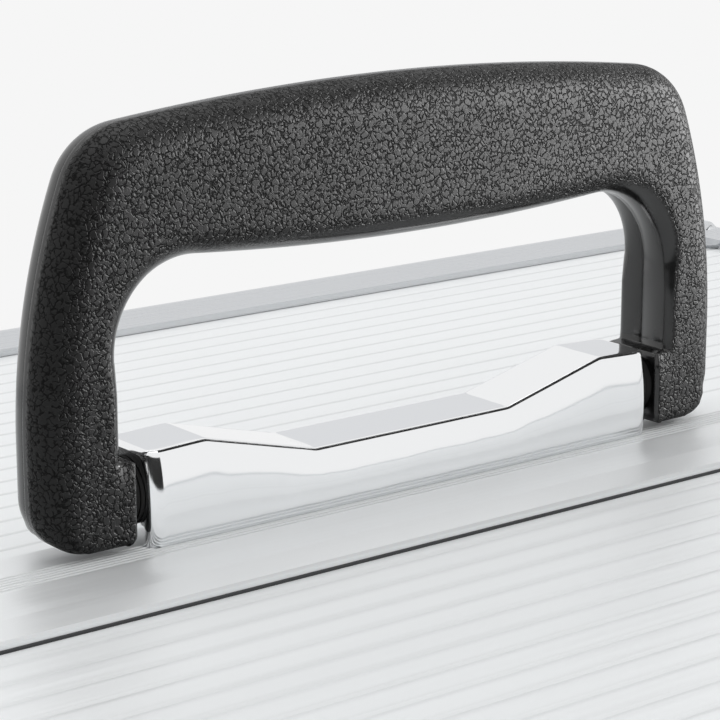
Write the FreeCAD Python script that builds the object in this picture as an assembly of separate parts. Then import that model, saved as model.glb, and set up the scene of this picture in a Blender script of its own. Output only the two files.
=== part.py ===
import FreeCAD, Part
import math
import os

# Aluminium art supply box with a folding carrying handle on its lid.
# Millimetres, +X right, +Y back, +Z up. The origin is the bottom centre of the whole object.

# Case
case_length = 396.0
case_depth = 265.0
body_height = 134.0
lid_height = 60.0
foot_height = 6.0
rim_gap = 0.6

# Edge extrusions and panels
edge_leg = 20.0
edge_wall = 1.4
edge_round = 7.0
least_round = 0.6
panel_thickness = 3.0
rib_pitch = 6.0
rib_groove_width = 1.6
rib_groove_depth = 0.1

# Rim extrusions round the opening
rim_height = 16.0
rim_web = 2.0
rim_depth = 9.0
tongue_height = 4.0
tongue_width = 1.6
tongue_clearance = 0.5

# Pressed corner guards
guard_wall = 0.9
guard_leg = 54.0
guard_cap = 26.0
guard_edge = 12.0
guard_drop_lid = 38.0
guard_drop_body = 50.0

# Feet
foot_radius = 12.0
foot_inset_x = 45.0
foot_inset_y = 44.5
foot_bore_radius = 3.5
foot_bore_depth = 3.0

# Lining and dividers
liner_thickness = 2.0
divider_thickness = 3.0
divider_height = 92.0
long_divider_y = 22.0
cross_divider_x = 72.0

# Spine rail of the lid
rail_rear = 3.5
rail_front = -26.3
rail_height = 1.5
rail_edge = 0.4
rail_web_width = 10.0
rail_ridge_count = 5
rail_ridge_pitch = 0.92
rail_ridge_rear = -4.4
rail_ridge_depth = 0.35
rail_dish_front = -19.0
rail_dish_rear = -10.0
rail_dish_depth = 0.35
rail_dish_steps = 6
backing_length = 112.0
backing_width = 30.0
backing_thickness = 1.5

# Chrome handle base
base_length = 100.0
base_depth = 12.8
base_end_height = 14.3
base_flat_height = 14.7
base_waist_height = 9.6
base_shoulder = 39.5
base_waist = 19.4
base_bulge = 1.3
base_lean = 0.7
base_end_round = 3.2
base_seat_clearance = 0.1

# Handle
handle_half_length = 67.1
handle_top = 66.4
handle_thickness = 13.0
handle_crown_radius = 432.0
handle_corner_radius = 12.0
handle_side_radius = 105.0
handle_widest = 18.0
grip_underside = 41.5
grip_swell_radius = 456.0
leg_inner = 54.3
inner_corner_radius = 13.8
edge_fillet_outer = 6.0
edge_fillet_inner = 5.0
seam_step = 0.15
pivot_height = 9.0
foot_swing_radius = 6.5
foot_corner_radius = 6.0
foot_heel_radius = 4.0
foot_edge_radius = 2.2
shoe_inner = 53.0
shoe_top = 15.3
boss_radius = 5.2
pivot_play = 0.1
washer_thickness = 0.6
pin_radius = 2.0
pin_play = 0.05
pin_in_base = 12.0
pin_in_foot = 9.0

# Hinges
hinge_x = 130.0
hinge_length = 60.0
hinge_leaf_height = 13.0
hinge_leaf_thickness = 1.5
knuckle_radius = 3.2
knuckle_length = 20.0
knuckle_play = 0.2
knuckle_clearance = 0.4
hinge_pin_radius = 1.5
hinge_pin_play = 0.05

# Draw latches
latch_x = 125.0
latch_width = 27.0
latch_plate = 1.2
latch_plate_top = 2.0
latch_plate_bottom = 46.0
ear_thickness = 1.5
ear_radius = 4.0
lever_pivot_out = 5.0
lever_pivot_drop = 17.0
lever_pin_radius = 1.5
lever_pin_play = 0.05
lever_play = 0.3
arm_thickness = 1.4
arm_radius = 3.2
lever_face_out = 4.0
lever_face_thickness = 1.2
lever_face_start = 10.0
lever_length = 28.0
lever_curl = 3.0
claw_pivot_out = 2.7
claw_pivot_drop = 6.0
claw_pin_radius = 1.2
claw_barrel_radius = 2.2
claw_width = 17.0
claw_thickness = 1.4
hook_thickness = 1.5
hook_reach = 5.0
catch_width = 22.0
catch_plate_low = 2.0
ledge_width = 19.0
ledge_height = 13.0
ledge_thickness = 1.5
ledge_reach = 6.0
hook_play = 0.2
release_angle = 40.0

# Allowances of the modelling itself
cut_margin = 1.0
same = 1e-6
match = 1e-3

# Levels and half sizes that follow from the driving dimensions
half_x = case_length / 2
half_y = case_depth / 2
floor_z = foot_height
rim_z = floor_z + body_height
lid_z = rim_z + rim_gap
crown_z = lid_z + lid_height
deck_z = crown_z - edge_wall
seat_z = deck_z + rail_height
pivot_z = deck_z + pivot_height
inner_x = half_x - edge_wall - panel_thickness
inner_y = half_y - edge_wall - panel_thickness
bay_x = inner_x - liner_thickness
bay_y = inner_y - liner_thickness
bottom_z = floor_z + edge_wall + panel_thickness
bay_floor_z = bottom_z + liner_thickness

X = FreeCAD.Vector(1, 0, 0)
Y = FreeCAD.Vector(0, 1, 0)
Z = FreeCAD.Vector(0, 0, 1)
nodes = {}


def vec(x, y, z):
    return FreeCAD.Vector(x, y, z)


def block(x0, x1, y0, y1, z0, z1):
    """Box between two corners."""
    return Part.makeBox(x1 - x0, y1 - y0, z1 - z0, vec(x0, y0, z0))


def rod(start, direction, radius, length):
    return Part.makeCylinder(radius, length, start, direction)


def prism(points, travel):
    """Closed polygon of points, carried straight along the vector travel."""
    return Part.Face(Part.makePolygon(points + points[:1])).extrude(travel)


def mirrored(shape, normal):
    return shape.mirror(vec(0, 0, 0), normal)


def pair_at(shape, x):
    """The shape twice, at the same distance to the left and to the right."""
    pair = [shape.copy(), shape.copy()]
    pair[0].translate(X * -x)
    pair[1].translate(X * x)
    return Part.makeCompound(pair)


def rounded_block(x0, x1, y0, y1, z0, z1, radius, pick):
    """Box with the edges that pick(edge) chooses rounded."""
    solid = block(x0, x1, y0, y1, z0, z1)
    return solid.makeFillet(radius, [edge for edge in solid.Edges if pick(edge)])


def upright(edge):
    return edge.BoundBox.XLength < same and edge.BoundBox.YLength < same


def ring(inset_outer, inset_inner, z0, z1):
    """Upright band between two rounded rectangles, each inset from the case's outline."""
    bands = []
    for inset in (inset_outer, inset_inner):
        radius = max(edge_round - inset, least_round)
        bands.append(rounded_block(inset - half_x, half_x - inset, inset - half_y, half_y - inset,
                                   z0, z1, radius, upright))
    return bands[0].cut(bands[1])


def ribbed_panel(corner, across, outward, along, width, length):
    """Flat panel with fine V grooves at the rib pitch, running along its length."""
    count = int((width - rib_pitch / 2) // rib_pitch)
    first = (width - (count - 1) * rib_pitch) / 2
    outline = [(0, 0), (0, panel_thickness)]
    for number in range(count):
        centre = first + number * rib_pitch
        outline.append((centre - rib_groove_width / 2, panel_thickness))
        outline.append((centre, panel_thickness - rib_groove_depth))
        outline.append((centre + rib_groove_width / 2, panel_thickness))
    outline += [(width, panel_thickness), (width, 0)]
    points = [corner + across * s + outward * n for s, n in outline]
    return prism(points, along * length)


def edge_profile(corner, leg_a, leg_b, along, length):
    """Rounded angle extrusion: corner is the sharp outer corner, the legs run along leg_a and leg_b."""
    def at(a, b):
        return corner + leg_a * a + leg_b * b

    def arc(radius, inset):
        centre = inset + radius
        middle = centre - radius * math.sqrt(0.5)
        return Part.Arc(at(inset, centre), at(middle, middle), at(centre, inset)).toShape()

    inner_round = edge_round - edge_wall
    lines = [(at(edge_round, 0), at(edge_leg, 0)),
             (at(edge_leg, 0), at(edge_leg, edge_wall)),
             (at(edge_leg, edge_wall), at(edge_round, edge_wall)),
             (at(edge_wall, edge_round), at(edge_wall, edge_leg)),
             (at(edge_wall, edge_leg), at(0, edge_leg)),
             (at(0, edge_leg), at(0, edge_round))]
    edges = [Part.makeLine(a, b) for a, b in lines]
    edges += [arc(edge_round, 0), arc(inner_round, edge_wall)]
    wire = Part.Wire(Part.__sortEdges__(edges))
    return Part.Face(wire).extrude(along * length)


# Panels of the body

span_x = half_x - edge_round
span_y = half_y - edge_round
wall_low = floor_z + edge_round


def wall_panels(name, low, height):
    """Four ribbed walls with level grooves, standing on the level low."""
    for side, x, y, outward, along, length in (("front", -span_x, -inner_y, -Y, X, 2 * span_x),
                                               ("rear", -span_x, inner_y, Y, X, 2 * span_x),
                                               ("left", -inner_x, -span_y, -X, Y, 2 * span_y),
                                               ("right", inner_x, -span_y, X, Y, 2 * span_y)):
        panel = ribbed_panel(vec(x, y, low), Z, outward, along, height, length)
        nodes[name + "_" + side + "_panel"] = panel


nodes["bottom_panel"] = block(-span_x, span_x, -span_y, span_y, floor_z + edge_wall, bottom_z)
wall_panels("body", wall_low, rim_z - rim_web - wall_low)

# Edge extrusions along the bottom and up the corners of the body

run_x = half_x - edge_leg
run_y = half_y - edge_leg
nodes["bottom_edge_front"] = edge_profile(vec(-run_x, -half_y, floor_z), Y, Z, X, 2 * run_x)
nodes["bottom_edge_rear"] = edge_profile(vec(-run_x, half_y, floor_z), -Y, Z, X, 2 * run_x)
nodes["bottom_edge_left"] = edge_profile(vec(-half_x, -run_y, floor_z), X, Z, Y, 2 * run_y)
nodes["bottom_edge_right"] = edge_profile(vec(half_x, -run_y, floor_z), -X, Z, Y, 2 * run_y)


def corner_posts(z0, z1):
    posts = []
    for sx in (-1, 1):
        for sy in (-1, 1):
            posts.append(edge_profile(vec(sx * half_x, sy * half_y, z0), X * -sx, Y * -sy, Z, z1 - z0))
    return Part.makeCompound(posts)


nodes["body_corner_posts"] = corner_posts(wall_low, rim_z - rim_height)

# Rim of the body with its upstanding tongue

tongue_inset = rim_depth - tongue_width
body_skin = ring(0, edge_wall, rim_z - rim_height, rim_z)
body_web = ring(0, rim_depth, rim_z - rim_web, rim_z)
tongue = ring(tongue_inset, rim_depth, rim_z - rim_web, rim_z + tongue_height)
nodes["body_rim"] = body_skin.fuse([body_web, tongue]).removeSplitter()

# Corner guards: pressed sheet that wraps a corner and steps down from the extrusions to the panels


def corner_block(reach, low, offset):
    """Case corner at +X +Y and top level 0, grown by offset, with its three meeting edges rounded."""
    tip = vec(half_x + offset, half_y + offset, offset)
    return rounded_block(half_x - reach, tip.x, half_y - reach, tip.y, low, tip.z, edge_round + offset,
                         lambda edge: any(v.Point.isEqual(tip, same) for v in edge.Vertexes))


def guard(drop):
    """Guard for the corner at +X +Y whose top level is 0: petals on the panels, tapered over the edges."""
    reach = guard_leg + edge_leg
    inner = corner_block(2 * reach, -2 * reach, 0)
    shell = corner_block(reach, -reach, guard_wall).cut(inner)
    faces = vec(half_x, half_y, 0)
    window = faces - vec(edge_leg, edge_leg, edge_leg)
    for axis in range(3):
        low = window - vec(reach, reach, reach)
        high = FreeCAD.Vector(window)
        low[axis] = faces[axis] - edge_wall
        high[axis] = faces[axis] + guard_wall
        petal = block(low.x, high.x, low.y, high.y, low.z, high.z)
        step = vec(-guard_wall, -guard_wall, -guard_wall)
        step[axis] = guard_wall
        pocket = petal.copy()
        pocket.translate(step)
        shell = shell.cut(petal).fuse(petal.cut(pocket))
    shell = shell.common(corner_wedge(drop))
    # Over each edge extrusion the guard ends in a slant, nearer to the corner at the edge itself
    for axis, other, third in ((X, Y, Z), (Y, Z, X), (Z, X, Y)):
        low = faces - axis * (2 * reach) - (other + third) * edge_leg
        high = faces + (other + third) * edge_leg
        start = faces - (other - third) * edge_leg
        near = start + other * edge_leg + axis * (guard_cap - 2 * guard_edge)
        wide = start - other * edge_leg - axis * guard_cap
        slant = prism([near, wide, wide - axis * (2 * reach), near - axis * (2 * reach)],
                      (other - third) * (2 * edge_leg))
        shell = shell.cut(slant.common(block(low.x, high.x, low.y, high.y, low.z, high.z)))
    return shell.removeSplitter()


def corner_wedge(drop):
    """Tetrahedron behind the slanting plane that trims the three petals of a guard."""
    margin = 2 * guard_wall
    spare = 1 + margin * (2 / guard_leg + 1 / drop)
    tip = vec(half_x + margin, half_y + margin, margin)
    a = tip - X * (guard_leg * spare)
    b = tip - Y * (guard_leg * spare)
    c = tip - Z * (drop * spare)
    faces = []
    for triangle in ([tip, a, b], [tip, b, c], [tip, c, a], [a, b, c]):
        faces.append(Part.Face(Part.makePolygon(triangle + triangle[:1])))
    return Part.Solid(Part.Shell(faces))


def guards(shape, z):
    """Four guards, mirrored from the one at +X +Y."""
    pair = [shape, mirrored(shape, X)]
    four = Part.makeCompound(pair + [mirrored(one, Y) for one in pair])
    four.translate(Z * z)
    return four


nodes["body_guards"] = guards(mirrored(guard(guard_drop_body), Z), floor_z)

# Feet

feet = []
for sx in (-1, 1):
    for sy in (-1, 1):
        centre = vec(sx * (half_x - foot_inset_x), sy * (half_y - foot_inset_y), 0)
        pad = rod(centre, Z, foot_radius, floor_z + edge_wall)
        feet.append(pad.cut(rod(centre, Z, foot_bore_radius, foot_bore_depth)))
nodes["feet"] = Part.makeCompound(feet)

# Lining boards and dividers of the body

liner_top = rim_z - rim_web
nodes["bottom_liner"] = block(-bay_x, bay_x, -bay_y, bay_y, bottom_z, bay_floor_z)
wall_liners = []
for sign in (-1, 1):
    y_pair = sorted((sign * bay_y, sign * inner_y))
    wall_liners.append(block(-bay_x, bay_x, y_pair[0], y_pair[1], bottom_z, liner_top))
    x_pair = sorted((sign * bay_x, sign * inner_x))
    wall_liners.append(block(x_pair[0], x_pair[1], -inner_y, inner_y, bottom_z, liner_top))
nodes["body_wall_liners"] = Part.makeCompound(wall_liners)

divider_top = bay_floor_z + divider_height
half_divider = divider_thickness / 2
nodes["long_divider"] = block(-bay_x, bay_x, long_divider_y - half_divider, long_divider_y + half_divider,
                              bay_floor_z, divider_top)
for name, sign in (("left", -1), ("right", 1)):
    x = sign * cross_divider_x
    nodes["cross_divider_" + name] = block(x - half_divider, x + half_divider, -bay_y,
                                           long_divider_y - half_divider, bay_floor_z, divider_top)

# Lid: deck panels on both sides of the spine rail, and walls

lid_wall_low = lid_z + rim_web
web_front = rail_rear - rail_web_width
nodes["rear_deck_panel"] = ribbed_panel(vec(-span_x, rail_rear, deck_z - panel_thickness), Y, Z, X,
                                        span_y - rail_rear, 2 * span_x)
nodes["front_deck_panel"] = ribbed_panel(vec(-span_x, -span_y, deck_z - panel_thickness), Y, Z, X,
                                         web_front + span_y, 2 * span_x)
wall_panels("lid", lid_wall_low, crown_z - edge_round - lid_wall_low)

nodes["lid_edge_front"] = edge_profile(vec(-run_x, -half_y, crown_z), Y, -Z, X, 2 * run_x)
nodes["lid_edge_rear"] = edge_profile(vec(-run_x, half_y, crown_z), -Y, -Z, X, 2 * run_x)
nodes["lid_edge_left"] = edge_profile(vec(-half_x, -run_y, crown_z), X, -Z, Y, 2 * run_y)
nodes["lid_edge_right"] = edge_profile(vec(half_x, -run_y, crown_z), -X, -Z, Y, 2 * run_y)
nodes["lid_corner_posts"] = corner_posts(lid_z + rim_height, crown_z - edge_round)
lid_skin = ring(0, edge_wall, lid_z, lid_z + rim_height)
lid_web = ring(0, tongue_inset - tongue_clearance, lid_z, lid_z + rim_web)
nodes["lid_rim"] = lid_skin.fuse(lid_web).removeSplitter()
nodes["lid_guards"] = guards(guard(guard_drop_lid), crown_z)

# Spine rail: one extrusion with a fluted band, a shallow dish and a web between the deck panels


def spine_rail():
    top = seat_z
    outline = [(web_front, deck_z - panel_thickness), (web_front, deck_z), (rail_front, deck_z),
               (rail_front, top - rail_edge), (rail_front + rail_edge, top), (rail_dish_front, top)]
    for step in range(1, rail_dish_steps):
        share = step / rail_dish_steps
        y = rail_dish_front + share * (rail_dish_rear - rail_dish_front)
        outline.append((y, top - rail_dish_depth * math.sin(math.pi * share)))
    outline.append((rail_dish_rear, top))
    for number in range(rail_ridge_count, -1, -1):
        y = rail_ridge_rear - number * rail_ridge_pitch
        outline.append((y - rail_ridge_pitch / 3, top))
        outline.append((y, top - rail_ridge_depth))
        outline.append((y + rail_ridge_pitch / 3, top))
    outline += [(rail_rear - rail_edge, top), (rail_rear, top - rail_edge),
                (rail_rear, deck_z - panel_thickness)]
    points = [vec(-run_x, y, z) for y, z in outline]
    return prism(points, X * (2 * run_x))


nodes["spine_rail"] = spine_rail()

# Backing plate under the rail, which the screws of the handle base are drawn against

backing_y = (web_front + rail_rear) / 2
backing_top = deck_z - panel_thickness
nodes["backing_plate"] = block(-backing_length / 2, backing_length / 2, backing_y - backing_width / 2,
                               backing_y + backing_width / 2, backing_top - backing_thickness, backing_top)

# Handle base: a waisted bar lofted through cross sections with bulging sides


def base_section(x, height):
    """Cross section of the base at x, from the deck up to height above the rail."""
    half = base_depth / 2
    lip = half - base_lean
    belly = lip + base_bulge
    top = seat_z + height
    middle = (deck_z + top) / 2
    front_low = vec(x, -half, deck_z)
    front_high = vec(x, -lip, top)
    rear_high = vec(x, lip, top)
    rear_low = vec(x, half, deck_z)
    edges = [Part.makeLine(rear_low, front_low),
             Part.Arc(front_low, vec(x, -belly, middle), front_high).toShape(),
             Part.makeLine(front_high, rear_high),
             Part.Arc(rear_high, vec(x, belly, middle), rear_low).toShape()]
    return Part.Wire(edges)


def handle_base():
    stations = [(-base_length / 2, base_end_height), (-base_shoulder, base_flat_height),
                (-base_waist, base_waist_height), (base_waist, base_waist_height),
                (base_shoulder, base_flat_height), (base_length / 2, base_end_height)]
    bar = Part.makeLoft([base_section(x, height) for x, height in stations], True, True)
    belly = base_depth / 2 - base_lean + base_bulge
    plan = rounded_block(-base_length / 2, base_length / 2, -belly, belly, deck_z, seat_z + base_flat_height,
                         base_end_round, upright)
    bar = bar.common(plan)
    seat = block(-base_length, base_length, -base_depth, rail_rear + base_seat_clearance,
                 deck_z - cut_margin, seat_z)
    bar = bar.cut(seat)
    for sign in (-1, 1):
        start = vec(sign * (base_length / 2 + cut_margin), 0, pivot_z)
        bar = bar.cut(rod(start, X * -sign, pin_radius + pin_play, pin_in_base + cut_margin))
    return bar


nodes["handle_base"] = handle_base()

# Handle: arch of tangent arcs, split into a front and a rear shell at the moulding seam


def polar(centre, radius, towards):
    return centre + (towards - centre).normalize() * radius


def meeting(c1, r1, c2, r2):
    """Upper of the two points at distance r1 from c1 and r2 from c2, all at y = 0."""
    gap = c2 - c1
    d = gap.Length
    a = (r1 * r1 - r2 * r2 + d * d) / (2 * d)
    h = math.sqrt(r1 * r1 - a * a)
    along = FreeCAD.Vector(gap).normalize()
    foot = c1 + along * a
    side = vec(-along.z, 0, along.x) * h
    return foot + side if (foot + side).z > (foot - side).z else foot - side


def arc_between(centre, radius, start, end):
    return Part.Arc(start, polar(centre, radius, (start + end) * 0.5), end).toShape()


def handle_arch(inset):
    """Filleted arch with legs that run past the pivots, inset all round by a small step."""
    half = handle_half_length - inset
    crown_c = vec(0, 0, handle_top - handle_crown_radius)
    side_c = vec(handle_half_length - handle_side_radius, 0, handle_widest)
    corner_c = meeting(crown_c, handle_crown_radius - handle_corner_radius,
                       side_c, handle_side_radius - handle_corner_radius)
    crown_r = handle_crown_radius - inset
    side_r = handle_side_radius - inset
    corner_r = handle_corner_radius - inset
    t1 = crown_c + (corner_c - crown_c).normalize() * crown_r
    t2 = side_c + (corner_c - side_c).normalize() * side_r
    widest = vec(half, 0, handle_widest)
    under_c = vec(0, 0, grip_underside + grip_swell_radius)
    inner_x_c = leg_inner - inner_corner_radius
    reach = grip_swell_radius + inner_corner_radius
    inner_c = vec(inner_x_c, 0, under_c.z - math.sqrt(reach * reach - inner_x_c * inner_x_c))
    t3 = polar(inner_c, inner_corner_radius + inset, under_c)
    leg_in = vec(leg_inner + inset, 0, inner_c.z)
    low = pivot_height - 2 * foot_swing_radius

    def flip(p):
        return vec(-p.x, 0, p.z)

    edges = [arc_between(crown_c, crown_r, flip(t1), t1),
             arc_between(corner_c, corner_r, t1, t2),
             arc_between(side_c, side_r, t2, widest),
             Part.makeLine(widest, vec(half, 0, low)),
             Part.makeLine(vec(half, 0, low), vec(leg_in.x, 0, low)),
             Part.makeLine(vec(leg_in.x, 0, low), leg_in),
             arc_between(inner_c, inner_corner_radius + inset, leg_in, t3),
             Part.Arc(t3, vec(0, 0, grip_underside + inset), flip(t3)).toShape(),
             arc_between(flip(inner_c), inner_corner_radius + inset, flip(t3), flip(leg_in)),
             Part.makeLine(flip(leg_in), vec(-leg_in.x, 0, low)),
             Part.makeLine(vec(-leg_in.x, 0, low), vec(-half, 0, low)),
             Part.makeLine(vec(-half, 0, low), flip(widest)),
             arc_between(flip(side_c), side_r, flip(widest), flip(t2)),
             arc_between(flip(corner_c), corner_r, flip(t2), flip(t1))]
    arch = Part.Face(Part.Wire(edges)).extrude(Y * handle_thickness)
    arch.translate(Y * (-handle_thickness / 2))
    rims = [edge for edge in arch.Edges
            if edge.BoundBox.YLength < same and edge.BoundBox.ZMax > low + match]
    outer = [edge for edge in rims if is_outer(edge)]
    inner = [edge for edge in rims if not any(edge.isSame(other) for other in outer)]
    arch = arch.makeFillet(edge_fillet_outer, outer)
    starts = [edge.BoundBox.Center for edge in inner]
    again = [edge for edge in arch.Edges
             if any(edge.BoundBox.Center.distanceToPoint(p) < match for p in starts)]
    return arch.makeFillet(edge_fillet_inner, again)


def is_outer(edge):
    point = edge.valueAt((edge.FirstParameter + edge.LastParameter) / 2)
    return abs(point.x) > leg_inner + edge_fillet_inner or point.z > grip_underside + inner_corner_radius


def foot_space(inset, swings):
    """Space above the pivots and of two feet below them, which are round behind where they swing down."""
    half = handle_thickness / 2
    bottom = pivot_height - foot_swing_radius
    keep = block(-case_length, case_length, -case_depth, case_depth, pivot_height, 2 * handle_top)
    for side in (-1, 1):
        toe_x = side * (handle_half_length - inset)
        heel_x = side * (shoe_inner + inset)
        x0, x1 = sorted((toe_x, heel_x))
        foot = block(x0, x1, -half, half, bottom, pivot_height)
        for x, radius in ((toe_x, foot_corner_radius), (heel_x, foot_heel_radius)):
            corner = vec(x, 0, bottom)
            foot = foot.makeFillet(radius, [edge for edge in foot.Edges
                                            if edge.BoundBox.Center.distanceToPoint(corner) < match])
        if swings:
            foot = foot.common(rod(vec(x0, 0, pivot_height), X, foot_swing_radius - inset, x1 - x0))
        else:
            foot = foot.makeFillet(foot_edge_radius, [edge for edge in foot.Edges
                                                      if edge.BoundBox.YMax < match - half
                                                      and edge.BoundBox.ZMax < pivot_height - match])
        keep = keep.fuse(foot)
    return keep


def handle_shoe(side, inset):
    """Squared lower end of a leg on the side of the base, with rounded edges above and inside."""
    half = handle_thickness / 2
    root_x = side * (leg_inner + edge_fillet_inner)
    x0, x1 = sorted((side * (shoe_inner + inset), root_x))
    low = pivot_height - 2 * foot_swing_radius
    return rounded_block(x0, x1, -half, half, low, shoe_top - inset, foot_edge_radius,
                         lambda edge: edge.BoundBox.ZMin > low - same and edge.BoundBox.ZMax > low + match
                         and abs(edge.BoundBox.Center.x - root_x) > match)


def handle_shell(inset, sign):
    """One half of the handle, on the side of the seam that sign gives: the front one has squarer feet."""
    shell = handle_arch(inset).fuse([handle_shoe(-1, inset), handle_shoe(1, inset)])
    shell = shell.common(foot_space(inset, sign > 0))
    face_x = base_length / 2 + 2 * pivot_play + washer_thickness
    for side in (-1, 1):
        root = vec(side * (leg_inner + edge_fillet_inner), 0, pivot_height)
        boss = rod(root, X * -side, boss_radius - inset, leg_inner + edge_fillet_inner - face_x)
        shell = shell.fuse(boss)
    half_space = block(-case_length, case_length, min(0, sign * case_depth), max(0, sign * case_depth),
                       -case_depth, case_depth)
    shell = shell.common(half_space).removeSplitter()
    for side in (-1, 1):
        bore = rod(vec(side * (face_x - cut_margin), 0, pivot_height), X * side,
                   pin_radius + pin_play, pin_in_foot + cut_margin)
        shell = shell.cut(bore)
    shell.translate(Z * deck_z)
    return shell


nodes["handle_front_shell"] = handle_shell(0, -1)
nodes["handle_rear_shell"] = handle_shell(seam_step, 1)

pins = []
washers = []
for side in (-1, 1):
    inner_end = vec(side * (base_length / 2 - pin_in_base + pivot_play), 0, pivot_z)
    pin_length = pin_in_base + washer_thickness + pin_in_foot
    pins.append(rod(inner_end, X * side, pin_radius, pin_length))
    washer_start = vec(side * (base_length / 2 + pivot_play), 0, pivot_z)
    disc = rod(washer_start, X * side, boss_radius, washer_thickness)
    washers.append(disc.cut(rod(washer_start, X * side, pin_radius + pin_play, washer_thickness)))
nodes["pivot_pins"] = Part.makeCompound(pins)
nodes["pivot_washers"] = Part.makeCompound(washers)

# Hinges: a leaf on each rim, their knuckles and a pin

hinge_y = half_y + knuckle_radius
hinge_z = (rim_z + lid_z) / 2
hinge_half = hinge_length / 2
middle_half = knuckle_length / 2


def knuckle(x0, x1, radius):
    return rod(vec(x0, hinge_y, hinge_z), X, radius, x1 - x0)


def hinge_leaf(on_lid):
    """Leaf with its knuckles, centred on x = 0: the lid has the middle knuckle, the body the outer two."""
    z0, z1 = (hinge_z, lid_z + hinge_leaf_height) if on_lid else (rim_z - hinge_leaf_height, hinge_z)
    leaf = block(-hinge_half, hinge_half, half_y, half_y + hinge_leaf_thickness, z0, z1)
    inner = [(-middle_half, middle_half)]
    outer = [(-hinge_half, -middle_half - knuckle_play), (middle_half + knuckle_play, hinge_half)]
    own, other = (inner, outer) if on_lid else (outer, inner)
    for x0, x1 in own:
        leaf = leaf.fuse(knuckle(x0, x1, knuckle_radius))
    for x0, x1 in other:
        leaf = leaf.cut(knuckle(x0 - knuckle_play, x1 + knuckle_play, knuckle_radius + knuckle_clearance))
    leaf = leaf.cut(knuckle(-hinge_length, hinge_length, hinge_pin_radius + hinge_pin_play))
    return leaf.removeSplitter()


nodes["hinge_body_leaves"] = pair_at(hinge_leaf(False), hinge_x)
nodes["hinge_lid_leaves"] = pair_at(hinge_leaf(True), hinge_x)
nodes["hinge_pins"] = pair_at(knuckle(-hinge_half, hinge_half, hinge_pin_radius), hinge_x)

# Draw latches: base with ears, lever, claw and the catch on the lid.
# A point of the latch is given by its distance out from the front face and its height over the rim.


def front(x, out, height):
    return vec(x, -half_y - out, rim_z + height)


def front_block(x0, x1, out0, out1, height0, height1):
    return block(x0, x1, -half_y - out1, -half_y - out0, rim_z + height0, rim_z + height1)


ear_inner = latch_width / 2 - ear_thickness
arm_outer = ear_inner - lever_play
arm_inner = arm_outer - arm_thickness
lever_axis = front(0, lever_pivot_out, -lever_pivot_drop)
claw_axis = lever_axis + vec(0, -claw_pivot_out, -claw_pivot_drop)
latch_half = latch_width / 2


def latch_base():
    plate = front_block(-latch_half, latch_half, 0, latch_plate, -latch_plate_bottom, -latch_plate_top)
    pad = front_block(-latch_half, latch_half, -edge_wall, latch_plate, -latch_plate_bottom, -rim_height)
    ears = []
    for x0, x1 in ((-latch_half, -ear_inner), (ear_inner, latch_half)):
        disc = rod(vec(x0, lever_axis.y, lever_axis.z), X, ear_radius, x1 - x0)
        root = front_block(x0, x1, 0, lever_pivot_out,
                           -lever_pivot_drop - ear_radius, -lever_pivot_drop + ear_radius)
        ears += [disc, root]
    pin = rod(vec(-latch_half, lever_axis.y, lever_axis.z), X, lever_pin_radius, latch_width)
    return plate.fuse([pad] + ears + [pin]).removeSplitter()


def latch_lever():
    """Lever in its latched place: two arms, a cross pin and a finger plate with a curled end."""
    parts = []
    face_out = lever_pivot_out + lever_face_out
    top = -lever_pivot_drop - lever_face_start
    low = -lever_pivot_drop - lever_length
    for x0, x1 in ((-arm_outer, -arm_inner), (arm_inner, arm_outer)):
        eye = rod(vec(x0, lever_axis.y, lever_axis.z), X, arm_radius, x1 - x0)
        outline = [front(x0, lever_pivot_out - arm_radius, -lever_pivot_drop),
                   front(x0, lever_pivot_out + arm_radius, -lever_pivot_drop),
                   front(x0, face_out + lever_face_thickness, top + arm_radius),
                   front(x0, face_out + lever_face_thickness, low),
                   front(x0, face_out, low),
                   front(x0, face_out - arm_radius, top - arm_radius)]
        parts += [eye, prism(outline, X * (x1 - x0))]
    parts.append(front_block(-arm_outer, arm_outer, face_out, face_out + lever_face_thickness, low, top))
    lip = prism([front(-arm_outer, face_out, low), front(-arm_outer, face_out + lever_face_thickness, low),
                 front(-arm_outer, face_out + lever_face_thickness + lever_curl / 2, low - lever_curl),
                 front(-arm_outer, face_out + lever_curl / 2, low - lever_curl)], X * (2 * arm_outer))
    parts.append(lip)
    parts.append(rod(vec(-arm_outer, claw_axis.y, claw_axis.z), X, claw_pin_radius, 2 * arm_outer))
    lever = parts[0].fuse(parts[1:])
    bore = rod(vec(-latch_width, lever_axis.y, lever_axis.z), X,
               lever_pin_radius + lever_pin_play, 2 * latch_width)
    return lever.cut(bore).removeSplitter()


hook_low = rim_gap + ledge_height + ledge_thickness + hook_play


def latch_claw():
    """Claw in its latched place: a barrel on the lever's cross pin, a strap and a hook."""
    half = claw_width / 2
    out0 = lever_pivot_out + claw_pivot_out - claw_thickness / 2
    out1 = out0 + claw_thickness
    barrel = rod(vec(-half, claw_axis.y, claw_axis.z), X, claw_barrel_radius, claw_width)
    strap = front_block(-half, half, out0, out1, claw_axis.z - rim_z, hook_low + hook_thickness)
    hook = front_block(-half, half, out1 - hook_reach, out1, hook_low, hook_low + hook_thickness)
    claw = barrel.fuse([strap, hook])
    bore = rod(vec(-half, claw_axis.y, claw_axis.z), X, claw_pin_radius + lever_pin_play, claw_width)
    return claw.cut(bore).removeSplitter()


def latch_catch():
    half = catch_width / 2
    ledge_half = ledge_width / 2
    ledge_top = rim_gap + ledge_height + ledge_thickness
    plate = front_block(-half, half, 0, latch_plate, rim_gap + catch_plate_low, ledge_top)
    ledge = front_block(-ledge_half, ledge_half, 0, ledge_reach, rim_gap + ledge_height, ledge_top)
    return plate.fuse(ledge).removeSplitter()


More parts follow.
